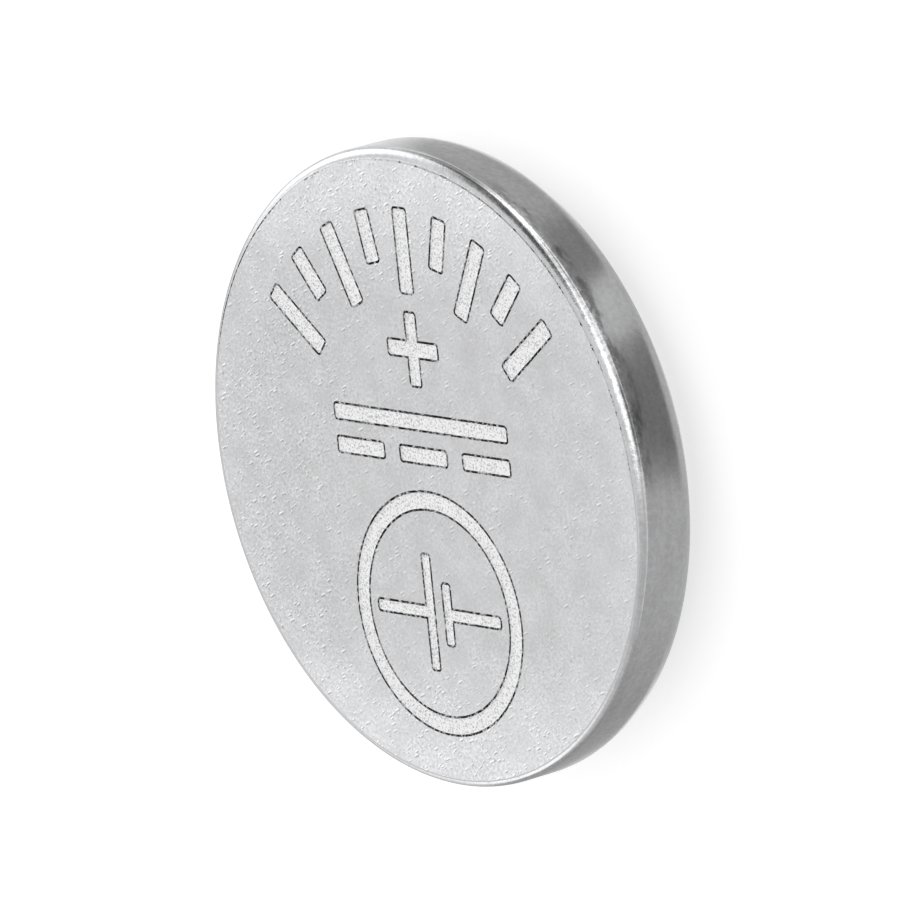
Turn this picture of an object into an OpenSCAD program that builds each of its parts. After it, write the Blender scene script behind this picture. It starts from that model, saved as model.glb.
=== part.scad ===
// Lithium coin cell, lying on its negative terminal with the positive face up.
// Origin at the centre of the negative terminal, +Z along the cell's axis, millimetres.
// Each pressed or moulded piece is one closed outline of [radius, height, fillet]
// corners, turned about the axis. Pieces that meet share the same corners.

/* [Cell] */
// Diameter over the can
cell_d = 20; // [19:0.1:25]
// Height from the negative terminal to the positive face
cell_h = 3.2; // [2.95:0.05:5]

/* [Positive can] */
// Thickness of the can's steel sheet
can_wall = 0.25; // [0.2:0.01:0.3]
// Width of the bevelled shoulder round the positive face
shoulder_w = 0.4; // [0.3:0.01:0.6]
// Slope of that shoulder, in degrees below the face
shoulder_slope = 14; // [5:1:30]
// Rounding between the shoulder and the wall
rim_radius = 0.15; // [0.1:0.01:0.35]
// Rounding of the inside corner at the base
inner_radius = 0.15; // [0.05:0.01:0.25]
// How far the crimp reaches in from the wall
crimp_reach = 1.1; // [0.85:0.01:1.3]
// Angle between the crimp and the wall, in degrees
crimp_angle = 49; // [42:1:56]
// Outside rounding of the bend between the wall and the crimp
crimp_radius = 1; // [0.6:0.01:1.2]

/* [Negative cap] */
// Thickness of the cap's steel sheet
cap_wall = 0.25; // [0.2:0.01:0.3]
// How far the terminal stands out past the crimped edge
terminal_stand = 0.38; // [0.3:0.01:0.46]
// Rounding round the terminal's flat
terminal_radius = 0.35; // [0.28:0.01:0.45]
// Rounding of the hollow corner at the foot of the raised terminal
step_radius = 0.2; // [0.1:0.01:0.25]
// Outside rounding where the cap's shoulder turns into its skirt
skirt_radius = 0.6; // [0.45:0.01:0.7]

/* [Gasket] */
// Thickness of the gasket between the skirt and the can
gasket_wall = 0.3; // [0.24:0.01:0.36]
// Thickness of the gasket's foot, under the end of the skirt
gasket_foot = 0.5; // [0.4:0.01:0.6]
// Thickness of the upstand inside the skirt
upstand_w = 0.45; // [0.35:0.01:0.55]
// Height of that upstand over the end of the skirt
upstand_h = 0.3; // [0.2:0.01:0.36]
// Width of the gap between the crimped edge and the terminal, where the gasket shows
seal_gap = 0.4; // [0.32:0.01:0.48]
// How far the gasket comes up the cut edge of the crimp
seal_rise = 0.14; // [0.1:0.01:0.2]

/* [Inner stack] */
// Thickness of the lithium disc
anode_t = 0.6; // [0.4:0.05:0.75]
// Gap between the lithium disc and the inside of the terminal
anode_gap = 0.5; // [0.3:0.05:0.8]
// Thickness of the separator's floor
separator_t = 0.2; // [0.1:0.01:0.25]
// Thickness of the separator's turned-up rim
separator_rim_t = 0.15; // [0.08:0.01:0.2]
// Height of the rim over the separator's floor
separator_rim_h = 0.7; // [0.4:0.05:0.9]
// Radial clearance on each side of the separator's rim
stack_clearance = 0.05; // [0.03:0.01:0.08]
// Thickness of the steel ring that holds the cathode pellet
ring_t = 0.1; // [0.08:0.01:0.15]
// Height of the steel ring
ring_h = 1.2; // [0.9:0.05:1.5]
// Width of the ring's flange, against the can's base
ring_flange = 1.3; // [0.8:0.05:2]

/* [Face marks] */
// Depth of the stamped marks
mark_depth = 0.04; // [0.02:0.005:0.06]
// Rounding of the corners of each stamped stroke
mark_radius = 0.07; // [0.04:0.01:0.1]
// Number of strokes in the arc above the plus sign
tick_count = 9; // [5:2:11]
// Angle that the arc of strokes spans, in degrees
tick_span = 104; // [80:1:120]
// Length of the long strokes
tick_long = 2.6; // [2:0.1:3.2]
// Length of the short strokes
tick_short = 1.6; // [1.2:0.1:1.9]
// Width of each stroke in the arc
tick_w = 0.55; // [0.4:0.01:0.65]
// Plain metal between the arc of strokes and the edge of the face
tick_margin = 1.5; // [1.2:0.05:1.8]
// Length of the plus sign's bars
plus_size = 2.26; // [1.8:0.02:2.7]
// Width of the plus sign's bars
plus_w = 0.45; // [0.35:0.01:0.55]
// Gap between the arc of strokes and the plus sign
plus_gap = 0.65; // [0.5:0.05:0.8]
// Length of the direct-current sign
current_l = 8; // [6.6:0.1:9.6]
// Width of its line and dashes
current_w = 0.45; // [0.35:0.01:0.55]
// Clear gap between its line and its dashes
current_gap = 0.6; // [0.4:0.05:0.75]
// Number of its dashes
dash_count = 3; // [3:1:5]
// Clear gap between its dashes
dash_gap = 0.8; // [0.6:0.05:1]
// Outside diameter of the stamped ring
badge_d = 7.58; // [6.3:0.02:8.6]
// Width of the ring's line
badge_w = 0.5; // [0.4:0.01:0.6]
// Plain metal between the ring and the edge of the face
badge_margin = 1.25; // [1:0.05:1.5]
// Length of the long plate in the cell sign
plate_long = 3.6; // [3:0.05:4.3]
// Length of the short plate in the cell sign
plate_short = 1.9; // [1.5:0.05:2.3]
// Width of the lines in the cell sign
plate_w = 0.32; // [0.26:0.01:0.4]
// Clear gap between the two plates
plate_gap = 0.5; // [0.4:0.05:0.6]
// Plain metal between the cell sign's leads and the ring
lead_gap = 0.45; // [0.35:0.05:0.55]

/* [Hidden] */
$fn = 128;
// Degrees turned by each short side of a fillet
fillet_step = 7.5;
// How far a cutting tool runs past the face that it cuts
overrun = 0.1;

// The can's outline
can_r = cell_d / 2;
can_inner_r = can_r - can_wall;
base_z = cell_h - can_wall;
face_r = can_r - shoulder_w;
shoulder_z = cell_h - shoulder_w * tan(shoulder_slope);
bend_z = terminal_stand + crimp_reach / tan(crimp_angle);
bend_inner_z = bend_z + can_wall * tan(crimp_angle / 2);
crimp_out = [cos(crimp_angle), -sin(crimp_angle)];
lip = [can_r - crimp_reach, terminal_stand];
lip_inner = lip - can_wall * crimp_out;
seal_edge = lip_inner + seal_rise * crimp_out;

// The cap's outline
terminal_r = lip[0] - seal_gap;
skirt_r = can_inner_r - gasket_wall;
skirt_end_z = base_z - gasket_foot;
step_z = bend_z - skirt_radius
    + (can_wall + gasket_wall + skirt_radius) * tan(crimp_angle / 2);
cap_inner_r = terminal_r - cap_wall;
skirt_inner_r = skirt_r - cap_wall;

// The inner stack, from the cap up
separator_z = cap_wall + anode_t;
pellet_z = separator_z + separator_t;
separator_r = cap_inner_r - stack_clearance;
ring_r = separator_r - separator_rim_t - stack_clearance;
pellet_r = ring_r - ring_t;

// The layout of the face
tick_outer_r = face_r - tick_margin;
tick_inner_r = tick_outer_r - tick_long;
plus_y = tick_inner_r - plus_gap - plus_size / 2;
badge_y = badge_margin + badge_d / 2 - face_r;
current_y = (plus_y - plus_size / 2 + badge_y + badge_d / 2) / 2;
dash_l = (current_l - (dash_count - 1) * dash_gap) / dash_count;

function unit(v) = v / norm(v);
function point(corner) = [corner[0], corner[1]];
function bearing(v) = atan2(v[1], v[0]);
function short_way(angle) = angle > 180 ? angle - 360 : angle < -180 ? angle + 360 : angle;

// The points of a fillet of radius r at corner b, between its neighbours a and c.
function fillet(a, b, c, r) =
    let (to_a = unit(a - b), to_c = unit(c - b), half = acos(to_a * to_c) / 2)
    let (centre = b + unit(to_a + to_c) * r / sin(half), reach = r / tan(half))
    let (first = bearing(b + to_a * reach - centre))
    let (sweep = short_way(bearing(b + to_c * reach - centre) - first))
    let (steps = ceil(abs(sweep) / fillet_step))
    [for (i = [0:steps]) centre + r * [cos(first + sweep * i / steps), sin(first + sweep * i / steps)]];

// A closed outline with the fillets of its corners worked out. A corner with no third number is sharp.
function outline(corners) =
    let (count = len(corners))
    [for (i = [0:count - 1])
        let (b = point(corners[i]), r = len(corners[i]) > 2 ? corners[i][2] : 0)
        let (a = point(corners[(i + count - 1) % count]), c = point(corners[(i + 1) % count]))
        each r > 0 ? fillet(a, b, c, r) : [b]];

module turned(corners) {
    rotate_extrude()
        polygon(outline(corners));
}

// A stamped stroke along X with rounded corners, centred on the origin.
module stroke(length, width) {
    square([length, width - 2 * mark_radius], center = true);
    square([length - 2 * mark_radius, width], center = true);
    for (x = [-1, 1], y = [-1, 1])
        translate([x * (length / 2 - mark_radius), y * (width / 2 - mark_radius)])
            circle(mark_radius);
}

// The arc of strokes: long and short ones in turn, all starting from the same inner circle.
module tick_arc() {
    for (i = [0:tick_count - 1]) {
        length = i % 2 == 0 ? tick_long : tick_short;
        rotate(90 + tick_span * (i / (tick_count - 1) - 0.5))
            translate([tick_outer_r - length / 2, 0])
                stroke(length, tick_w);
    }
}

module plus_sign() {
    for (turn = [0, 90])
        rotate(turn)
            stroke(plus_size, plus_w);
}

// The sign for direct current: a line over a row of dashes.
module current_sign() {
    rise = (current_w + current_gap) / 2;
    translate([0, rise])
        stroke(current_l, current_w);
    for (i = [0:dash_count - 1])
        translate([(i - (dash_count - 1) / 2) * (dash_l + dash_gap), -rise])
            stroke(dash_l, current_w);
}

// A ring round the circuit sign for one cell: a long and a short plate, each with its lead.
module cell_badge() {
    plate_x = (plate_gap + plate_w) / 2;
    lead_end = badge_d / 2 - badge_w - lead_gap;
    difference() {
        circle(badge_d / 2);
        circle(badge_d / 2 - badge_w);
    }
    for (side = [[-1, plate_long], [1, plate_short]]) {
        translate([side[0] * plate_x, 0])
            rotate(90)
                stroke(side[1], plate_w);
        translate([side[0] * (plate_x + lead_end) / 2, 0])
            stroke(lead_end - plate_x, plate_w);
    }
}

module face_marks() {
    tick_arc();
    translate([0, plus_y])
        plus_sign();
    translate([0, current_y])
        current_sign();
    translate([0, badge_y])
        cell_badge();
}

// The drawn steel cup: flat face, bevelled shoulder, wall, and the edge crimped in under the gasket.
module positive_can() {
    color([0.79, 0.79, 0.8])
        difference() {
            turned([
                [0, cell_h],
                [face_r, cell_h],
                [can_r, shoulder_z, rim_radius],
                [can_r, bend_z, crimp_radius],
                lip,
                lip_inner,
                [can_inner_r, bend_inner_z, crimp_radius - can_wall],
                [can_inner_r, base_z, inner_radius],
                [0, base_z]
            ]);
            translate([0, 0, cell_h - mark_depth])
                linear_extrude(mark_depth + overrun)
                    face_marks();
        }
}

// The stepped steel cap: raised terminal, shoulder and skirt.
module negative_cap() {
    color([0.74, 0.74, 0.75])
        turned([
            [0, 0],
            [terminal_r, 0, terminal_radius],
            [terminal_r, step_z, step_radius],
            [skirt_r, step_z, skirt_radius],
            [skirt_r, skirt_end_z],
            [skirt_inner_r, skirt_end_z],
            [skirt_inner_r, step_z + cap_wall, skirt_radius - cap_wall],
            [cap_inner_r, step_z + cap_wall, step_radius + cap_wall],
            [cap_inner_r, cap_wall, terminal_radius - cap_wall],
            [0, cap_wall]
        ]);
}

// The moulded ring that seals and insulates: foot, upstand, wall and the lip that the crimp folds over.
module gasket() {
    upstand_r = skirt_inner_r - upstand_w;
    upstand_z = skirt_end_z - upstand_h;
    color([0.2, 0.2, 0.21])
        turned([
            [upstand_r, base_z],
            [can_inner_r, base_z, inner_radius],
            [can_inner_r, bend_inner_z, crimp_radius - can_wall],
            lip_inner,
            seal_edge,
            [terminal_r, seal_edge[1]],
            [terminal_r, step_z, step_radius],
            [skirt_r, step_z, skirt_radius],
            [skirt_r, skirt_end_z],
            [skirt_inner_r, skirt_end_z],
            [skirt_inner_r, upstand_z],
            [upstand_r, upstand_z]
        ]);
}

// The lithium disc, pressed onto the inside of the cap.
module lithium_anode() {
    color([0.68, 0.69, 0.72])
        translate([0, 0, cap_wall])
            cylinder(h = anode_t, r = cap_inner_r - anode_gap);
}

// The separator: a thin cup of nonwoven film between the lithium and the pellet.
module separator() {
    rim_inner_r = separator_r - separator_rim_t;
    color([0.93, 0.93, 0.9])
        turned([
            [0, separator_z],
            [separator_r, separator_z],
            [separator_r, pellet_z + separator_rim_h],
            [rim_inner_r, pellet_z + separator_rim_h],
            [rim_inner_r, pellet_z],
            [0, pellet_z]
        ]);
}

// The pressed manganese dioxide pellet, stepped at the edge for the ring's flange.
module cathode_pellet() {
    step_r = ring_r - ring_flange;
    color([0.14, 0.13, 0.13])
        turned([
            [0, pellet_z],
            [pellet_r, pellet_z],
            [pellet_r, base_z - ring_t],
            [step_r, base_z - ring_t],
            [step_r, base_z],
            [0, base_z]
        ]);
}

// The steel ring of L section that holds the pellet and carries its current to the can.
module cathode_ring() {
    color([0.6, 0.61, 0.63])
        turned([
            [ring_r, base_z],
            [ring_r, base_z - ring_h],
            [pellet_r, base_z - ring_h],
            [pellet_r, base_z - ring_t],
            [ring_r - ring_flange, base_z - ring_t],
            [ring_r - ring_flange, base_z]
        ]);
}

positive_can();
negative_cap();
gasket();
lithium_anode();
separator();
cathode_pellet();
cathode_ring();
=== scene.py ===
"""A lithium coin cell on a pale floor: fine turned meshes and procedural
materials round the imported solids.
"""

import math

import bpy
from mathutils import Matrix, Vector
from mathutils.geometry import delaunay_2d_cdt

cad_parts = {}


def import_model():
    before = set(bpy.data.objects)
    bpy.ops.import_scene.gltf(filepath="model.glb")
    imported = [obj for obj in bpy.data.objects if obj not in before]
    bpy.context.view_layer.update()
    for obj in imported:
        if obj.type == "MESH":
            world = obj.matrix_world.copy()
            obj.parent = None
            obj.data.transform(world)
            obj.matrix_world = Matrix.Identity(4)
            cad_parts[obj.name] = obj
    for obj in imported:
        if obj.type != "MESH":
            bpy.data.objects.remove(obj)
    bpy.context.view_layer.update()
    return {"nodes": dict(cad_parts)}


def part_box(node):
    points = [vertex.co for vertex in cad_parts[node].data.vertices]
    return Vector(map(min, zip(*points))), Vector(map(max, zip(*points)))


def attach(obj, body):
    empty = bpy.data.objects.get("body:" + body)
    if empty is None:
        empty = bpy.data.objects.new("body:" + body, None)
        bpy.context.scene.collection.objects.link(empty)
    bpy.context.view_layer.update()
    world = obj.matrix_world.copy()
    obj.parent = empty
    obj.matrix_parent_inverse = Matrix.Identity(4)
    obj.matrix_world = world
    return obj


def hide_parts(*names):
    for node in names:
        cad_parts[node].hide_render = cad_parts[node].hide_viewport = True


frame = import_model()

MM = 0.001

# The cell, in millimetres and degrees: its size comes from the frame, and the rest is that of
# the solids, except that the rim is rounded as in the photograph
_, far_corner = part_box("positive_can")
CELL_R = far_corner.x / MM
CELL_H = far_corner.z / MM
CAN_WALL = 0.25
SHOULDER_W = 0.4
SHOULDER_SLOPE = 14
RIM_RADIUS = 0.2
INNER_RADIUS = 0.15
CRIMP_REACH = 1.1
CRIMP_ANGLE = 49
CRIMP_RADIUS = 1
CAP_WALL = 0.25
TERMINAL_STAND = 0.38
TERMINAL_RADIUS = 0.35
STEP_RADIUS = 0.2
SKIRT_RADIUS = 0.6
GASKET_WALL = 0.3
GASKET_FOOT = 0.5
UPSTAND_W = 0.45
UPSTAND_H = 0.3
SEAL_GAP = 0.4
SEAL_RISE = 0.14

# The fine groove where the face meets the shoulder, and the flatter inner part of the shoulder
CREASE_W = 0.055
CREASE_DEPTH = 0.012
EASE_W = 0.17
EASE_SLOPE = 8
EASE_RADIUS = 0.6
# How far out the groove lies from its drawn radius, at azimuths in degrees
CREASE_SHIFTS = [
    (-50, 0.2), (-15, 0.15), (8, 0), (30, -0.045), (80, -0.045), (95, 0),
    (110, 0.056), (130, 0.11), (155, 0.2), (310, 0.2),
]
# The share of its full depth that the groove has, at azimuths in degrees
CREASE_DEPTHS = [(-50, 0), (-15, 0), (15, 1), (160, 1), (175, 0), (310, 0)]

# The stamped marks on the face
MARK_DEPTH = 0.04
MARK_RADIUS = 0.07
MARK_SLOPE_W = 0.045
# The width of the line of painted shade round each mark's edge
MARK_LINE_W = 0.075
TICK_COUNT = 9
TICK_SPAN = 104
TICK_LONG = 2.6
TICK_SHORT = 1.6
TICK_W = 0.55
TICK_MARGIN = 1.5
PLUS_SIZE = 2.26
PLUS_W = 0.45
PLUS_GAP = 0.65
CURRENT_L = 8
CURRENT_W = 0.45
CURRENT_GAP = 0.6
DASH_COUNT = 3
DASH_GAP = 0.8
BADGE_D = 7.58
BADGE_W = 0.5
BADGE_MARGIN = 1.25
PLATE_LONG = 3.6
PLATE_SHORT = 1.9
PLATE_W = 0.32
PLATE_GAP = 0.5
LEAD_GAP = 0.45

# How finely the turned meshes are divided
SEGMENTS = 360
FILLET_STEP = 4
CORNER_STEPS = 6
RING_POINTS = 160
SHARP_ANGLE = 12

# Lengths that differ by no more than this, in millimetres, count as the same. Vertices join
# where they agree to so many decimals, and the marks are cut into the face to this precision
SAME = 1e-4
JOIN_DIGITS = 5
CUT_PRECISION = 1e-6

# The camera, as measured from the photograph, in degrees, millimetres and pixels
VIEW_AZIMUTH = 15.701
VIEW_ELEVATION = 38.643
VIEW_ROLL = -105.771
VIEW_DISTANCE = 426.6
VIEW_SIDE = 0.1625
VIEW_DOWN = -0.0504
IMAGE_SIDE = 918
FOCAL_PIXELS = 13966.7
SENSOR = 36
CLIP_START = 0.01


# Outlines

def unit(v):
    return v / v.length


def fillet(a, b, c, radius, steps=None):
    """The points of a fillet at corner b, between its neighbours a and c."""
    to_a, to_c = unit(a - b), unit(c - b)
    half = math.acos(max(-1, min(1, to_a.dot(to_c)))) / 2
    centre = b + unit(to_a + to_c) * radius / math.sin(half)
    reach = radius / math.tan(half)
    start, end = b + to_a * reach - centre, b + to_c * reach - centre
    first = math.atan2(start.y, start.x)
    sweep = (math.atan2(end.y, end.x) - first + math.pi) % (2 * math.pi) - math.pi
    count = steps or max(1, math.ceil(abs(sweep) / math.radians(FILLET_STEP)))
    angles = [first + sweep * i / count for i in range(count + 1)]
    return [centre + radius * Vector((math.cos(t), math.sin(t))) for t in angles]


def outline(corners):
    """A closed outline with the fillets of its (radius, height, fillet) corners worked out."""
    points = []
    for i, corner in enumerate(corners):
        before, after = corners[i - 1], corners[(i + 1) % len(corners)]
        b = Vector(corner[:2])
        if len(corner) > 2:
            points += fillet(Vector(before[:2]), b, Vector(after[:2]), corner[2])
        else:
            points.append(b)
    return points


def offset(corners, inset):
    """The corners of a counter-clockwise polygon, moved inwards by inset."""
    moved = []
    for i, b in enumerate(corners):
        a, c = corners[i - 1], corners[(i + 1) % len(corners)]
        along_in, along_out = unit(b - a), unit(c - b)
        normal_in = Vector((-along_in.y, along_in.x))
        normal_out = Vector((-along_out.y, along_out.x))
        moved.append(b + (normal_in + normal_out) * inset / (1 + normal_in.dot(normal_out)))
    return moved


def rounded(corners, inset):
    """The polygon, moved inwards by inset, with its outward corners rounded."""
    moved = offset(corners, inset)
    points = []
    for i, b in enumerate(moved):
        a, c = moved[i - 1], moved[(i + 1) % len(moved)]
        if (b - a).cross(c - b) > 0:
            points += fillet(a, b, c, MARK_RADIUS - inset, CORNER_STEPS)
        else:
            points.append(b)
    return points


def ring_points(radius, count, centre=Vector((0, 0))):
    turn = 2 * math.pi / count
    return [centre + radius * Vector((math.cos(turn * i), math.sin(turn * i))) for i in range(count)]


def placed(corners, angle=0, shift=(0, 0)):
    """The corners turned by angle, in degrees, and then moved."""
    turn = Matrix.Rotation(math.radians(angle), 2)
    return [turn @ Vector(c) + Vector(shift) for c in corners]


def bar(length, width):
    x, y = length / 2, width / 2
    return [(-x, -y), (x, -y), (x, y), (-x, y)]


# The can's, the cap's and the gasket's outlines, from the same corner points

face_r = CELL_R - SHOULDER_W
can_inner_r = CELL_R - CAN_WALL
base_z = CELL_H - CAN_WALL
slope = math.tan(math.radians(SHOULDER_SLOPE))
ease = math.tan(math.radians(EASE_SLOPE))
crimp_turn = math.radians(CRIMP_ANGLE)
bend_z = TERMINAL_STAND + CRIMP_REACH / math.tan(crimp_turn)
bend_inner_z = bend_z + CAN_WALL * math.tan(crimp_turn / 2)
crimp_out = Vector((math.cos(crimp_turn), -math.sin(crimp_turn)))
lip = Vector((CELL_R - CRIMP_REACH, TERMINAL_STAND))
lip_inner = lip - CAN_WALL * crimp_out
seal_edge = lip_inner + SEAL_RISE * crimp_out
terminal_r = lip.x - SEAL_GAP
skirt_r = can_inner_r - GASKET_WALL
skirt_end_z = base_z - GASKET_FOOT
step_z = bend_z - SKIRT_RADIUS + (CAN_WALL + GASKET_WALL + SKIRT_RADIUS) * math.tan(crimp_turn / 2)
cap_inner_r = terminal_r - CAP_WALL
skirt_inner_r = skirt_r - CAP_WALL

CAN_OUTLINE = [
    (face_r - CREASE_W / 2, CELL_H),
    (face_r, CELL_H - CREASE_DEPTH),
    (face_r + CREASE_W / 2, CELL_H - ease * CREASE_W / 2),
    (face_r + EASE_W, CELL_H - ease * EASE_W, EASE_RADIUS),
    (CELL_R, CELL_H - SHOULDER_W * slope, RIM_RADIUS),
    (CELL_R, bend_z, CRIMP_RADIUS),
    tuple(lip),
    tuple(lip_inner),
    (can_inner_r, bend_inner_z, CRIMP_RADIUS - CAN_WALL),
    (can_inner_r, base_z, INNER_RADIUS),
    (0, base_z),
]
CAP_OUTLINE = [
    (0, 0),
    (terminal_r, 0, TERMINAL_RADIUS),
    (terminal_r, step_z, STEP_RADIUS),
    (skirt_r, step_z, SKIRT_RADIUS),
    (skirt_r, skirt_end_z),
    (skirt_inner_r, skirt_end_z),
    (skirt_inner_r, step_z + CAP_WALL, SKIRT_RADIUS - CAP_WALL),
    (cap_inner_r, step_z + CAP_WALL, STEP_RADIUS + CAP_WALL),
    (cap_inner_r, CAP_WALL, TERMINAL_RADIUS - CAP_WALL),
    (0, CAP_WALL),
]
upstand_r = skirt_inner_r - UPSTAND_W
upstand_z = skirt_end_z - UPSTAND_H
GASKET_OUTLINE = [
    (upstand_r, base_z),
    (upstand_r, upstand_z),
    (skirt_inner_r, upstand_z),
    (skirt_inner_r, skirt_end_z),
    (skirt_r, skirt_end_z),
    (skirt_r, step_z, SKIRT_RADIUS),
    (terminal_r, step_z, STEP_RADIUS),
    (terminal_r, seal_edge.y),
    tuple(seal_edge),
    tuple(lip_inner),
    (can_inner_r, bend_inner_z, CRIMP_RADIUS - CAN_WALL),
    (can_inner_r, base_z, INNER_RADIUS),
]


# The marks

plus_y = face_r - TICK_MARGIN - TICK_LONG - PLUS_GAP - PLUS_SIZE / 2
badge_y = BADGE_MARGIN + BADGE_D / 2 - face_r
current_y = (plus_y - PLUS_SIZE / 2 + badge_y + BADGE_D / 2) / 2


def tick_arc():
    outer = face_r - TICK_MARGIN
    for i in range(TICK_COUNT):
        length = TICK_LONG if i % 2 == 0 else TICK_SHORT
        angle = 90 + TICK_SPAN * (i / (TICK_COUNT - 1) - 0.5)
        along = Vector((math.cos(math.radians(angle)), math.sin(math.radians(angle))))
        yield placed(bar(length, TICK_W), angle, along * (outer - length / 2))


def plus_sign():
    a, w = PLUS_SIZE / 2, PLUS_W / 2
    arm = [(w, -w), (a, -w), (a, w)]
    corners = [corner for turn in range(4) for corner in placed(arm, 90 * turn)]
    return placed(corners, shift=(0, plus_y))


def current_sign():
    rise = (CURRENT_W + CURRENT_GAP) / 2
    yield placed(bar(CURRENT_L, CURRENT_W), shift=(0, current_y + rise))
    dash = (CURRENT_L - (DASH_COUNT - 1) * DASH_GAP) / DASH_COUNT
    for i in range(DASH_COUNT):
        x = (i - (DASH_COUNT - 1) / 2) * (dash + DASH_GAP)
        yield placed(bar(dash, CURRENT_W), shift=(x, current_y - rise))


def cell_plates():
    """The two plates of the circuit sign for a cell, each with its lead, in the badge."""
    w = PLATE_W / 2
    plate_x = (PLATE_GAP + PLATE_W) / 2
    lead_end = BADGE_D / 2 - BADGE_W - LEAD_GAP
    for angle, height in ((180, PLATE_LONG / 2), (0, PLATE_SHORT / 2)):
        corners = [
            (plate_x - w, -height), (plate_x + w, -height), (plate_x + w, -w), (lead_end, -w),
            (lead_end, w), (plate_x + w, w), (plate_x + w, height), (plate_x - w, height),
        ]
        yield placed(corners, angle, (0, badge_y))


def mark_loops():
    """Each mark's loops: the outer edge of its line of painted shade, its top edge, and the foot of its
    side.
    """
    insets = (-MARK_LINE_W, 0, MARK_SLOPE_W)
    for corners in [*tick_arc(), plus_sign(), *current_sign(), *cell_plates()]:
        yield [rounded(corners, inset) for inset in insets]
    centre = Vector((0, badge_y))
    for radius, side in ((BADGE_D / 2, -1), (BADGE_D / 2 - BADGE_W, 1)):
        yield [ring_points(radius + side * inset, RING_POINTS, centre) for inset in insets]


# Meshes

# The kinds of point on the face, where a higher one prevails, and the can's finishes in the
# order of its materials
FLAT, LINE, TOP, FOOT = range(4)
PLATED, ETCHED, EDGE, CREASE = range(4)


def lathe(points, closed):
    """Vertices and faces of an outline of (radius, height) points turned about the axis."""
    verts, faces, rings = [], [], []
    for p in points:
        if p.x < SAME:
            rings.append([len(verts)] * SEGMENTS)
            verts.append((0, 0, p.y))
        else:
            rings.append([len(verts) + i for i in range(SEGMENTS)])
            verts += [(q.x, q.y, p.y) for q in ring_points(p.x, SEGMENTS)]
    pairs = list(zip(rings, rings[1:] + rings[:1]))
    for low, high in pairs if closed else pairs[:-1]:
        for i in range(SEGMENTS):
            j = (i + 1) % SEGMENTS
            face = []
            for k in (low[i], low[j], high[j], high[i]):
                if k not in face:
                    face.append(k)
            if len(face) > 2:
                faces.append(face)
    return verts, faces


def marked_face(radius):
    """Vertices, faces and finishes of the flat face, with the marks sunk into it."""
    flat = ring_points(radius, SEGMENTS)
    edges = [(i, (i + 1) % SEGMENTS) for i in range(SEGMENTS)]
    loop_of = [FLAT] * SEGMENTS
    for loops in mark_loops():
        for kind, loop in zip((LINE, TOP, FOOT), loops):
            count, first = len(loop), len(flat)
            for i in range(count):
                edges.append((first + i, first + (i + 1) % count))
                if kind != LINE:
                    edges.append((first + i, first + i - count))
            flat += loop
            loop_of += [kind] * count
    points, _, faces, origins, _, _ = delaunay_2d_cdt(flat, edges, [], 0, CUT_PRECISION)
    kinds = [max((loop_of[k] for k in origin), default=FLAT) for origin in origins]
    heights = [CELL_H - (MARK_DEPTH if kind == FOOT else 0) for kind in kinds]
    verts = [(p.x, p.y, z) for p, z in zip(points, heights)]
    finishes = []
    for face in faces:
        found = {kinds[k] for k in face}
        if FOOT in found:
            finishes.append(ETCHED)
        elif found == {LINE, TOP}:
            finishes.append(EDGE)
        else:
            finishes.append(PLATED)
    return verts, faces, finishes


def new_mesh(name, verts, faces):
    mesh = bpy.data.meshes.new(name)
    mesh.from_pydata([Vector(v) * MM for v in verts], [], faces)
    return mesh


def linked(name, data):
    made = bpy.data.objects.new(name, data)
    bpy.context.scene.collection.objects.link(made)
    return made


def in_face_plane(mesh, polygon):
    """Whether a polygon is part of the flat face, where smooth shading would show its triangles."""
    return all(abs(mesh.vertices[k].co.z / MM - CELL_H) <= SAME for k in polygon.vertices)


def build(name, verts, faces, finishes, materials):
    mesh = new_mesh(name, verts, faces)
    mesh.polygons.foreach_set("material_index", finishes)
    for material in materials:
        mesh.materials.append(material)
    mesh.validate()
    mesh.set_sharp_from_angle(angle=math.radians(SHARP_ANGLE))
    curved = [not in_face_plane(mesh, polygon) for polygon in mesh.polygons]
    mesh.polygons.foreach_set("use_smooth", curved)
    piece = linked(name, mesh)
    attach(piece, "root")
    return piece


def merged(*parts):
    """Several (vertices, faces, finishes) as one, with vertices at the same place joined."""
    verts, faces, finishes, found = [], [], [], {}
    for part_verts, part_faces, part_finishes in parts:
        index = []
        for v in part_verts:
            key = tuple(round(c, JOIN_DIGITS) for c in v)
            if key not in found:
                found[key] = len(verts)
                verts.append(v)
            index.append(found[key])
        faces += [[index[k] for k in face] for face in part_faces]
        finishes += part_finishes
    return verts, faces, finishes


def at_azimuth(table, x, y):
    """The value that a table of (azimuth, value) gives for the direction of a point."""
    first = table[0][0]
    azimuth = (math.degrees(math.atan2(y, x)) - first) % 360 + first
    for (start, low), (end, high) in zip(table, table[1:]):
        if azimuth <= end:
            return low + (high - low) * (azimuth - start) / (end - start)


def uneven_shoulder(verts):
    """The can's vertices, with the groove moved and the shoulder narrowed as in the photograph."""
    moved = []
    for x, y, z in verts:
        radius = math.hypot(x, y)
        if z > base_z and radius > face_r - CREASE_W:
            if abs(radius - face_r) < SAME:
                z = CELL_H - CREASE_DEPTH * at_azimuth(CREASE_DEPTHS, x, y)
            share = min(1, (CELL_R - radius) / SHOULDER_W)
            scale = 1 + at_azimuth(CREASE_SHIFTS, x, y) * share / radius
            x, y = x * scale, y * scale
        moved.append((x, y, z))
    return moved


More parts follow.
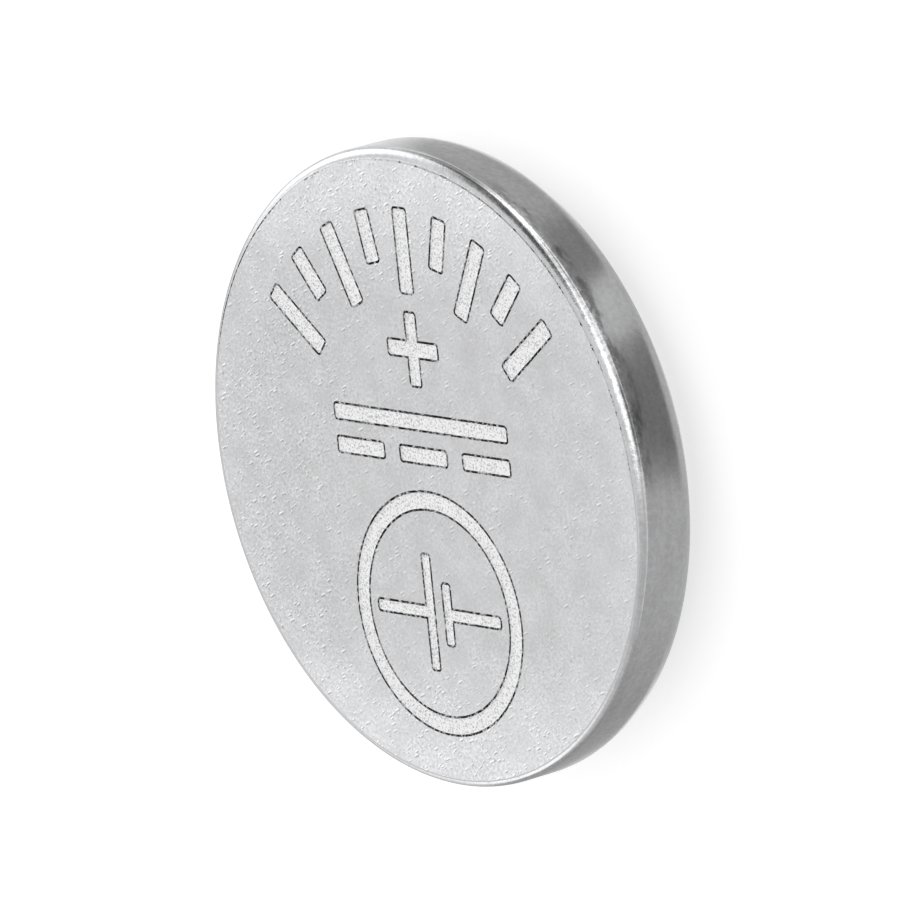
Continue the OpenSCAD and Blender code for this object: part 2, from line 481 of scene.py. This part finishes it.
def positive_can(materials):
    """The can: a turned body, whose first two rings of faces are the groove, and the marked face."""
    points = outline(CAN_OUTLINE)
    body_verts, body_faces = lathe(points, closed=False)
    crease_faces = 2 * SEGMENTS
    body_finishes = [CREASE] * crease_faces + [PLATED] * (len(body_faces) - crease_faces)
    body_faces = [face[::-1] for face in body_faces]
    verts, faces, finishes = merged(marked_face(points[0].x), (body_verts, body_faces, body_finishes))
    piece = build("can_shell", uneven_shoulder(verts), faces, finishes, materials)
    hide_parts("positive_can")


def turned_piece(name, corners, material, node):
    verts, faces = lathe(outline(corners), closed=True)
    piece = build(name, verts, faces, [0] * len(faces), [material])
    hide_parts(node)


# Nodes

# Where a Mix node's sockets for each type of data start: the first of its inputs, and its output
MIX_SOCKETS = {"FLOAT": (2, 0), "RGBA": (6, 2)}


class Nodes:
    """Short names for the nodes of a material or a world."""

    def __init__(self, owner):
        owner.use_nodes = True
        self.tree = owner.node_tree

    def new(self, kind, **settings):
        node = self.tree.nodes.new(kind)
        for name, value in settings.items():
            setattr(node, name, value)
        return node

    def put(self, value, socket):
        """Links an output to the socket, or sets the socket to a value."""
        if isinstance(value, bpy.types.NodeSocket):
            self.tree.links.new(value, socket)
        else:
            socket.default_value = value

    def math(self, operation, a, b=0.0, clamp=False):
        node = self.new("ShaderNodeMath", operation=operation, use_clamp=clamp)
        self.put(a, node.inputs[0])
        self.put(b, node.inputs[1])
        return node.outputs[0]

    def plus(self, first, *rest):
        for value in rest:
            first = self.math("ADD", first, value)
        return first

    def minus(self, a, b):
        return self.math("SUBTRACT", a, b)

    def times(self, first, *rest):
        for value in rest:
            first = self.math("MULTIPLY", first, value)
        return first

    def split(self, vector):
        node = self.new("ShaderNodeSeparateXYZ")
        self.put(vector, node.inputs[0])
        return node.outputs

    def join(self, x, y, z=0.0):
        node = self.new("ShaderNodeCombineXYZ")
        for value, socket in zip((x, y, z), node.inputs):
            self.put(value, socket)
        return node.outputs[0]

    def radius(self, x, y):
        return self.math("SQRT", self.plus(self.times(x, x), self.times(y, y)))

    def turn(self, x, y):
        """The azimuth about the cell's axis, in radians."""
        return self.math("ARCTAN2", y, x)

    def mapped(self, vector, scale, shift=(0, 0, 0), turn=0):
        """The vector turned about Z by minus turn, in degrees, then scaled, and then moved."""
        turned = self.new("ShaderNodeVectorRotate", rotation_type="Z_AXIS")
        self.put(vector, turned.inputs["Vector"])
        self.put(-math.radians(turn), turned.inputs["Angle"])
        node = self.new("ShaderNodeMapping")
        self.put(turned.outputs[0], node.inputs["Vector"])
        self.put(shift, node.inputs["Location"])
        self.put(scale, node.inputs["Scale"])
        return node.outputs[0]

    def noise(self, vector, scale, detail, roughness):
        node = self.new("ShaderNodeTexNoise")
        self.put(vector, node.inputs["Vector"])
        self.put(scale, node.inputs["Scale"])
        self.put(detail, node.inputs["Detail"])
        self.put(roughness, node.inputs["Roughness"])
        return node.outputs[0]

    def cells(self, vector):
        """A pattern of scattered cells: the distance to the nearest centre, and that cell's colour."""
        node = self.new("ShaderNodeTexVoronoi")
        self.put(vector, node.inputs["Vector"])
        self.put(1, node.inputs["Scale"])
        return node.outputs["Distance"], node.outputs["Color"]

    def ramp(self, value, start, end, low=0.0, high=1.0):
        """A smooth change from low to high as value goes from start to end."""
        node = self.new("ShaderNodeMapRange", interpolation_type="SMOOTHSTEP")
        for socket, number in zip(node.inputs, (value, start, end, low, high)):
            self.put(number, socket)
        return node.outputs[0]

    def within(self, cosine, inner, outer, low=0.0, high=1.0):
        """High where the cosine's angle is under inner, in degrees, and low where it is over outer."""
        return self.ramp(cosine, math.cos(math.radians(outer)), math.cos(math.radians(inner)), low, high)

    def sector(self, turn, angle, inner, outer, low=0.0, high=1.0):
        """High where turn is within inner of angle, in degrees, and low where it is past outer."""
        off = self.math("COSINE", self.minus(turn, math.radians(angle)))
        return self.within(off, inner, outer, low, high)

    def mix(self, factor, a, b, data_type="RGBA"):
        node = self.new("ShaderNodeMix", data_type=data_type)
        first, result = MIX_SOCKETS[data_type]
        self.put(factor, node.inputs[0])
        self.put(a, node.inputs[first])
        self.put(b, node.inputs[first + 1])
        return node.outputs[result]

    def between(self, factor, a, b):
        """A number between a and b."""
        return self.mix(factor, a, b, "FLOAT")


class Finish(Nodes):
    """A new material, with its shader, and with the place on the piece in millimetres."""

    def __init__(self, name):
        self.material = bpy.data.materials.new(name)
        super().__init__(self.material)
        self.shader = self.tree.nodes["Principled BSDF"]
        scale = self.new("ShaderNodeVectorMath", operation="SCALE")
        self.put(self.new("ShaderNodeTexCoord").outputs["Object"], scale.inputs[0])
        self.put(1 / MM, scale.inputs["Scale"])
        self.place = scale.outputs[0]

    def nickel(self, level):
        """The colour of nickel plate, from black at level 0 to its brightest at 1."""
        return self.mix(level, grey(0.0), grey(1.0))

    def bump(self, height, distance, before=None):
        """A normal bumped by distance, in millimetres, on top of the normal before, if any."""
        node = self.new("ShaderNodeBump")
        self.put(distance * MM, node.inputs["Distance"])
        self.put(height, node.inputs["Height"])
        if before:
            self.put(before, node.inputs["Normal"])
        return node.outputs[0]

    def set(self, **values):
        for name, value in values.items():
            self.put(value, self.shader.inputs[name.replace("_", " ")])


# Materials: each noise is given by its scale, detail and roughness, and each ramp by the range
# that it reads and, where that isn't 0 to 1, the range that it gives

NICKEL_TINT = (0.995, 0.998, 1.012)


def grey(level):
    """A neutral grey with the faint coolness of nickel plate."""
    return (*(level * part for part in NICKEL_TINT), 1)


# A stroke's least reach, as a share of its size, and the width of its soft edge
DASH_LEAST = 0.4
DASH_EDGE = 0.35


def dashes(n, vector, turn, cell, size, share, shift=(0, 0, 0)):
    """A mask of short strokes along turn, in degrees: one in a share of the cells of a pattern."""
    x, y, _ = n.split(n.mapped(vector, (1 / cell[0], 1 / cell[1], 1), shift, turn))
    distance, colour = n.cells(n.join(x, y))
    red, green, _ = n.split(colour)
    present = n.math("LESS_THAN", red, share)
    reach = n.times(n.plus(green, DASH_LEAST), size)
    inside = n.math("SUBTRACT", 1.0, n.math("DIVIDE", distance, reach), clamp=True)
    return n.times(present, n.ramp(inside, 0.0, DASH_EDGE))


# The plate's heights, in millimetres: of the face, the shoulder, the top of the painted glints, and
# the bottom and top of the dark patches
FACE_Z = (3.186, 3.197)
SHOULDER_Z = (2.8, 3.0)
GLINT_TOP_Z = (3.185, 3.165)
DARK_PATCH_Z = (2.45, 2.75)
DARK_PATCH_TOP_Z = (3.03, 2.97)

# The face is worn most far from its middle and at the left, and it has a painted highlight that
# makes it brighter far from its middle and towards its rim
FAR_Y = (4.5, 9.2)
LEFT_X = (2.0, -8.0)
LEFT_WEAR = 0.6
LEAST_WEAR = 0.6
MORE_WEAR = 0.65
CLOUD = (0.9, 6, 0.62)
CLOUD_TONE = (0.25, 0.75, 0.55, 0.64)
CLOUD_ROUGHNESS = (0.3, 0.7, 0.29, 0.34)
GRAIN = (9.0, 5, 0.8)
GRAIN_TONE = (0.3, 0.7, -0.16, 0.16)
PATCHES = (0.45, 3, 0.6)
PATCH_WEAR = (0.38, 0.6, 0.55, 1.0)
FAR_HIGHLIGHT = 0.11
RIM_HIGHLIGHT = (7.2, 9.6, 0.0, 0.03)

# Its scratches and pits: turn, cell, size and share of the strokes, and the shift of the pits.
# Each scratch has a painted highlight on one side and a painted shade on its other side, which is
# the same stroke a little way off
LONG_SCRATCHES = (25, (0.47, 0.11), 0.25, 0.42)
LONG_SHADE_SHIFT = (-0.02, 0.4, 0)
FINE_SCRATCHES = (34, (0.3, 0.085), 0.27, 0.75)
FINE_HIGHLIGHT_SHIFT = (5.3, 2.9, 0)
FINE_SHADE_SHIFT = (5.28, 3.32, 0)
FINE_WEAR = (0.0, 0.9, 0.45, 1.0)
PITS = (70, (0.3, 0.26), 0.16, 0.3, (3.1, 1.7, 0))
SCUFF_TONE = 0.26
PIT_TONE = -0.2
FACE_RELIEF = 0.002

# The sector of the rim and wall with bright painted glints on the rim and dark patches on the wall:
# its azimuth, and its inner and outer half-width, in degrees
MOTTLED_SECTOR = (34.38, 23.07, 35.9)
GLINTS = (7.0, 3, 0.7)
GLINT_TONE = (0.35, 0.65, 0.0, 0.36)
DARK_PATCHES = (1.0, 4, 0.6)
DARK_PATCH_SCALE = (0.8, 1.8, 1)
DARK_PATCH_SHIFT = (0.3, 0.2, 0)
DARK_PATCH_TONE = (0.45, 0.6, 0.0, -0.3)

# The wall's drawn streaks, which run round it, and its fine speckle
DRAWN = (1.0, 5, 0.65)
DRAWN_SCALE = (0.5, 2.0, 1)
DRAWN_TONE = (0.3, 0.7, 0.56, 0.64)
DRAWN_ROUGHNESS = (0.3, 0.7, 0.17, 0.24)
SPECKLE = (6.0, 4, 0.75)
SPECKLE_TONE = (0.3, 0.7, -0.05, 0.05)
SPECKLE_HEIGHT = 0.4
SHOULDER_POLISH = -0.04
WALL_RELIEF = 0.01


def plated_steel():
    """The can's plate: scratched on the face, polished on the shoulder, and drawn on the wall, with
    painted highlights and shade on the face and painted glints on the rim.
    """
    n = Finish("nickel_plate")
    x, y, z = n.split(n.place)
    turn = n.turn(x, y)
    flat = n.join(x, y)
    around = n.join(n.times(turn, CELL_R), z)
    on_face = n.ramp(z, *FACE_Z)
    off_face = n.minus(1.0, on_face)
    shoulder = n.times(off_face, n.ramp(z, *SHOULDER_Z))

    cloud = n.noise(flat, *CLOUD)
    grain = n.noise(flat, *GRAIN)
    far = n.ramp(n.math("ABSOLUTE", y), *FAR_Y)
    worn = n.math("MAXIMUM", far, n.times(n.ramp(x, *LEFT_X), LEFT_WEAR))
    patchy = n.times(n.ramp(n.noise(flat, *PATCHES), *PATCH_WEAR),
                     n.plus(LEAST_WEAR, n.times(worn, MORE_WEAR)))
    # Each scratch: a painted highlight less a painted shade, which is the same stroke a little way off
    long_scratches_lit_and_shaded = n.minus(dashes(n, flat, *LONG_SCRATCHES),
                             dashes(n, flat, *LONG_SCRATCHES, LONG_SHADE_SHIFT))
    fine_scratches_lit_and_shaded = n.minus(dashes(n, flat, *FINE_SCRATCHES, FINE_HIGHLIGHT_SHIFT),
                             dashes(n, flat, *FINE_SCRATCHES, FINE_SHADE_SHIFT))
    scuffs_lit_and_shaded = n.plus(long_scratches_lit_and_shaded, n.times(fine_scratches_lit_and_shaded, n.ramp(worn, *FINE_WEAR)))
    face_tone = n.plus(
        n.ramp(cloud, *CLOUD_TONE),
        n.times(n.ramp(grain, *GRAIN_TONE), patchy),
        # Painted highlights, far from the middle and towards the rim
        n.times(far, FAR_HIGHLIGHT),
        n.ramp(n.radius(x, y), *RIM_HIGHLIGHT),
        n.times(scuffs_lit_and_shaded, patchy, SCUFF_TONE),
        n.times(dashes(n, flat, *PITS), patchy, PIT_TONE),
    )

    # Painted glints: bright spots on the rim, in one sector
    glints = n.times(n.ramp(n.noise(n.place, *GLINTS), *GLINT_TONE),
                    n.ramp(z, *SHOULDER_Z), n.ramp(z, *GLINT_TOP_Z))
    # Dark patches on the wall, in the same sector
    dark_patches = n.times(n.ramp(n.noise(n.mapped(around, DARK_PATCH_SCALE, DARK_PATCH_SHIFT), *DARK_PATCHES), *DARK_PATCH_TONE),
                     n.ramp(z, *DARK_PATCH_Z), n.ramp(z, *DARK_PATCH_TOP_Z))
    drawn = n.noise(n.mapped(around, DRAWN_SCALE), *DRAWN)
    speckle = n.noise(n.place, *SPECKLE)
    wall_tone = n.plus(
        n.ramp(drawn, *DRAWN_TONE),
        n.ramp(speckle, *SPECKLE_TONE),
        n.times(n.plus(glints, dark_patches), n.sector(turn, *MOTTLED_SECTOR)),
    )

    level = n.plus(n.times(on_face, face_tone), n.times(off_face, wall_tone))
    wall_rough = n.plus(n.ramp(drawn, *DRAWN_ROUGHNESS), n.times(shoulder, SHOULDER_POLISH))
    rough = n.plus(n.times(on_face, n.ramp(cloud, *CLOUD_ROUGHNESS)), n.times(off_face, wall_rough))
    face_normal = n.bump(n.times(n.plus(scuffs_lit_and_shaded, grain), on_face), FACE_RELIEF)
    wall_height = n.plus(n.times(drawn, n.minus(off_face, shoulder)), n.times(speckle, SPECKLE_HEIGHT))
    n.set(Base_Color=n.nickel(level), Metallic=1.0, Roughness=rough,
          Normal=n.bump(wall_height, WALL_RELIEF, face_normal))
    return n.material


FROST = (14.0, 5, 0.8)
FROST_TONE = (0.39, 0.51, 0.45, 1.0)
FROST_ROUGHNESS = 0.75
FROST_RELIEF = 0.004


def etched_steel():
    """The frosted floor of the marks."""
    n = Finish("frosted_mark")
    grains = n.noise(n.place, *FROST)
    colour = n.mix(n.ramp(grains, *FROST_TONE), grey(0.0), (1, 1, 1, 1))
    n.set(Base_Color=colour, Metallic=0.0, Roughness=FROST_ROUGHNESS)
    n.set(Normal=n.bump(grains, FROST_RELIEF))
    return n.material


# The painted shade round each mark: its breaks, and its dark and light grey
LINE_BREAKS = (8.0, 4, 0.75)
LINE_BROKEN = (0.52, 0.57)
LINE_DARK = 0.006
LINE_LIGHT = 0.5
LINE_ROUGHNESS = 0.45


def mark_edge_shade():
    """The dark, broken line round each mark: painted shade at the mark's edge."""
    n = Finish("mark_edge_shade")
    broken = n.ramp(n.noise(n.place, *LINE_BREAKS), *LINE_BROKEN)
    n.set(Base_Color=n.mix(broken, grey(LINE_DARK), grey(LINE_LIGHT)))
    n.set(Metallic=1.0, Roughness=LINE_ROUGHNESS)
    return n.material


# The painted shade in the groove round the face
CREASE_DOTS = (8.0, 3, 0.7)
CREASE_EDGE = (-0.03, 0.03)
# How much of the line is painted shade: azimuth, inner and outer half-width in degrees, least and most
CREASE_SHOWN = (85, 76.11, 88.28, 0.15, 0.43)
CREASE_HEAVY = (145, 9.94, 19.95, 0.0, 0.12)
CREASE_DARK = 0.02
CREASE_LIGHT = 0.5
CREASE_ROUGHNESS = 0.35


def crease_shade():
    """The dotted line of painted shade in the groove where the face meets the shoulder, which is
    heaviest at the upper left.
    """
    n = Finish("crease_shade")
    x, y, _ = n.split(n.place)
    turn = n.turn(x, y)
    dark = n.plus(n.sector(turn, *CREASE_SHOWN), n.sector(turn, *CREASE_HEAVY))
    light = n.ramp(n.minus(n.noise(n.place, *CREASE_DOTS), dark), *CREASE_EDGE)
    n.set(Base_Color=n.mix(light, grey(CREASE_DARK), grey(CREASE_LIGHT)))
    n.set(Metallic=1.0, Roughness=CREASE_ROUGHNESS)
    return n.material


CAP_CLOUD = (0.7, 6, 0.6)
CAP_TONE = (0.3, 0.7, 0.585, 0.615)
CAP_ROUGHNESS = (0.3, 0.7, 0.23, 0.28)
CAP_RINGS = (1.0, 3, 0.6)
CAP_RINGS_PER_MM = 9.0
CAP_RING_TONE = (0.3, 0.7, -0.02, 0.02)
CAP_SCRATCHES = (112, (2.4, 0.4), 0.15, 0.4)
CAP_SCRATCH_TONE = 0.14
CAP_RELIEF = 0.006


def cap_steel():
    """The cap's plate, with faint turned rings and scratches."""
    n = Finish("cap_plate")
    x, y, z = n.split(n.place)
    flat = n.join(x, y)
    cloud = n.noise(flat, *CAP_CLOUD)
    turned = n.noise(n.join(n.times(n.radius(x, y), CAP_RINGS_PER_MM), z), *CAP_RINGS)
    scratches = dashes(n, flat, *CAP_SCRATCHES)
    level = n.plus(n.ramp(cloud, *CAP_TONE), n.ramp(turned, *CAP_RING_TONE),
                   n.times(scratches, CAP_SCRATCH_TONE))
    n.set(Base_Color=n.nickel(level), Metallic=1.0, Roughness=n.ramp(cloud, *CAP_ROUGHNESS))
    n.set(Normal=n.bump(n.plus(turned, scratches), CAP_RELIEF))
    return n.material


SPECKLED_DETAIL = (4, 0.65)
SPECKLED_RANGE = (0.3, 0.7)
ROUGHNESS_SPREAD = 0.06
MOULDED_RELIEF = 0.01
PRESSED_RELIEF = 0.03


def speckled(name, dark, light, scale, roughness, metallic=0.0, relief=MOULDED_RELIEF):
    """A moulded, pressed or rolled surface: one tone with fine grain."""
    n = Finish(name)
    grain = n.noise(n.place, scale, *SPECKLED_DETAIL)
    n.set(Base_Color=n.mix(n.ramp(grain, *SPECKLED_RANGE), grey(dark), grey(light)), Metallic=metallic)
    n.set(Roughness=n.ramp(grain, *SPECKLED_RANGE, roughness - ROUGHNESS_SPREAD,
                           roughness + ROUGHNESS_SPREAD))
    n.set(Normal=n.bump(grain, relief))
    return n.material


# The finishes of the gasket and of the pieces inside: name, dark and light grey, grain and
# roughness, and metallic and relief where they aren't those of a moulded piece
GASKET_FINISH = ("gasket_plastic", 0.03, 0.045, 6.0, 0.5)
INNER_FINISHES = {
    "lithium_anode": ("rolled_lithium", 0.42, 0.5, 2.0, 0.45, 1.0),
    "separator": ("nonwoven_film", 0.78, 0.88, 8.0, 0.85),
    "cathode_pellet": ("pressed_cathode", 0.015, 0.03, 10.0, 0.9, 0.0, PRESSED_RELIEF),
    "cathode_ring": ("stainless_ring", 0.3, 0.38, 5.0, 0.35, 1.0),
}


def inner_pieces():
    for node, finish in INNER_FINISHES.items():
        material = speckled(*finish)
        for slot in frame["nodes"][node].material_slots:
            slot.material = material


# The stage: a floor that is white to the camera and to reflections, and grey to other light

FLOOR_SIDE = 3
FLOOR_GAP = 0.01
FLOOR_GREY = 0.5
FLOOR_LIFT = 0.67
WHITE = (1, 1, 1, 1)


def floor():
    bpy.ops.mesh.primitive_plane_add(size=FLOOR_SIDE, location=(0, 0, -FLOOR_GAP * MM))
    plane = bpy.context.object
    plane.name = "floor"
    n = Finish("floor_paper")
    path = n.new("ShaderNodeLightPath").outputs
    seen = n.math("MAXIMUM", path["Is Camera Ray"], path["Is Glossy Ray"])
    n.set(Base_Color=(FLOOR_GREY, FLOOR_GREY, FLOOR_GREY, 1), Roughness=1, Specular_IOR_Level=0)
    n.set(Emission_Color=WHITE, Emission_Strength=n.times(seen, FLOOR_LIFT))
    plane.data.materials.append(n.material)


def direction(azimuth, elevation):
    """The unit vector towards an azimuth, from +X, and an elevation, in degrees."""
    a, e = math.radians(azimuth), math.radians(elevation)
    return Vector((math.cos(a) * math.cos(e), math.sin(a) * math.cos(e), math.sin(e)))


# Soft boxes and dark panels round the cell, each over those before it: azimuth, elevation,
# inner and outer radius in degrees, brightness
PANELS = [
    (195, 38, 22, 50, 1.0),
    (164, 22, 12, 18, 1.95),
    (158, 34, 8, 14, 1.95),
    (222, 33, 6, 18, 1.6),
    (228, 64, 8, 18, 0.72),
    (262, 46, 10, 22, 0.7),
    (285, 64, 12, 22, 0.66),
    (70, 83, 14, 20, 1.35),
    (158, 59, 7, 15, 0.08),
    (172, 76.5, 3, 8, 2.2),
    (134, 45, 8, 17, 0.13),
    (99, 39, 7, 13, 2.3),
    (88, 16, 6, 13, 1.9),
    (121, 18, 10, 20, 0.4),
    (69, 30, 6, 14, 0.28),
    (320, 36, 16, 32, 0.64),
    (14, 36, 8, 18, 0.22),
    (13, 18, 10, 20, 0.2),
    (246, 10, 10, 22, 0.42),
    (285, 12, 12, 28, 0.5),
]
SKY = 0.93


def world():
    made = bpy.data.worlds.new("studio")
    bpy.context.scene.world = made
    n = Nodes(made)
    place = n.new("ShaderNodeTexCoord").outputs["Generated"]
    level = SKY
    for azimuth, elevation, inner, outer, brightness in PANELS:
        dot = n.new("ShaderNodeVectorMath", operation="DOT_PRODUCT")
        n.put(place, dot.inputs[0])
        n.put(direction(azimuth, elevation), dot.inputs[1])
        level = n.between(n.within(dot.outputs["Value"], inner, outer), level, brightness)
    seen = n.new("ShaderNodeLightPath").outputs["Is Camera Ray"]
    background = n.tree.nodes["Background"]
    n.put(WHITE, background.inputs["Color"])
    n.put(n.between(seen, level, 1), background.inputs["Strength"])


# The grey card on the floor round the cell, which only reflections see: its radii and height
CARD_INNER = 9.0
CARD_OUTER = 200.0
CARD_LIFT = 0.02
CARD_TONE = (14.0, 60.0, 0.52, 0.6)
# Its sectors: azimuth, inner and outer half-width in degrees, brightness
CARD_SECTORS = [
    (-12, 6, 30, 0.58),
    (15, 2, 20, 0.23),
    (52, 2, 14, 0.3),
    (38, 1, 9, 0.68),
    (-75, 9, 37, 0.43),
]
CARD_FAR_SIDE = (132, 8, 34, 1.0)
# Close to the cell and under its crimp, the card is dim in a sector and bright elsewhere: the
# radii between which it changes, and the sector
CARD_NEAR = ((11.0, 10.2), (16, 52, 76))
CARD_UNDER = ((10.1, 9.8), (6, 42, 62))
NEAR_DIM = 0.6
NEAR_BRIGHT = 1.15


def grey_card():
    points = [Vector((CARD_INNER, CARD_LIFT)), Vector((CARD_OUTER, CARD_LIFT))]
    mesh = new_mesh("grey_card", *lathe(points, closed=False))
    card = linked("grey_card", mesh)
    n = Finish("card_paper")
    x, y, _ = n.split(n.place)
    radius, turn = n.radius(x, y), n.turn(x, y)
    level = n.ramp(radius, *CARD_TONE)
    for *wedge, brightness in CARD_SECTORS:
        level = n.between(n.sector(turn, *wedge), level, brightness)
    for reach, wedge in (CARD_NEAR, CARD_UNDER):
        dimmed = n.sector(turn, *wedge, NEAR_BRIGHT, NEAR_DIM)
        level = n.between(n.ramp(radius, *reach), level, dimmed)
    *wedge, brightness = CARD_FAR_SIDE
    level = n.between(n.sector(turn, *wedge), level, brightness)
    emission = n.new("ShaderNodeEmission")
    n.put(level, emission.inputs["Strength"])
    n.put(emission.outputs[0], n.tree.nodes["Material Output"].inputs["Surface"])
    mesh.materials.append(n.material)
    card.visible_camera = False
    card.visible_diffuse = False
    card.visible_shadow = False


def camera():
    """The camera where the photograph was taken, rolled so that the picture lies as it does."""
    back = direction(VIEW_AZIMUTH, VIEW_ELEVATION)
    level_right = unit((-back).cross(Vector((0, 0, 1))))
    level_up = level_right.cross(-back)
    roll = math.radians(VIEW_ROLL)
    right = math.cos(roll) * level_right + math.sin(roll) * level_up
    up = math.cos(roll) * level_up - math.sin(roll) * level_right
    centre = Vector((0, 0, CELL_H / 2))
    place = centre + back * VIEW_DISTANCE - right * VIEW_SIDE + up * VIEW_DOWN
    data = bpy.data.cameras.new("camera")
    data.sensor_width = SENSOR
    data.lens = FOCAL_PIXELS * SENSOR / IMAGE_SIDE
    data.clip_start = CLIP_START
    eye = linked("camera", data)
    turned = Matrix((right, up, back)).transposed().to_4x4()
    eye.matrix_world = Matrix.Translation(place * MM) @ turned
    bpy.context.scene.camera = eye


camera()
floor()
grey_card()
world()
positive_can([plated_steel(), etched_steel(), mark_edge_shade(), crease_shade()])
turned_piece("cap_shell", CAP_OUTLINE, cap_steel(), "negative_cap")
turned_piece("gasket_ring", GASKET_OUTLINE, speckled(*GASKET_FINISH), "gasket")
inner_pieces()

scene = bpy.context.scene
scene.view_settings.view_transform = "Standard"
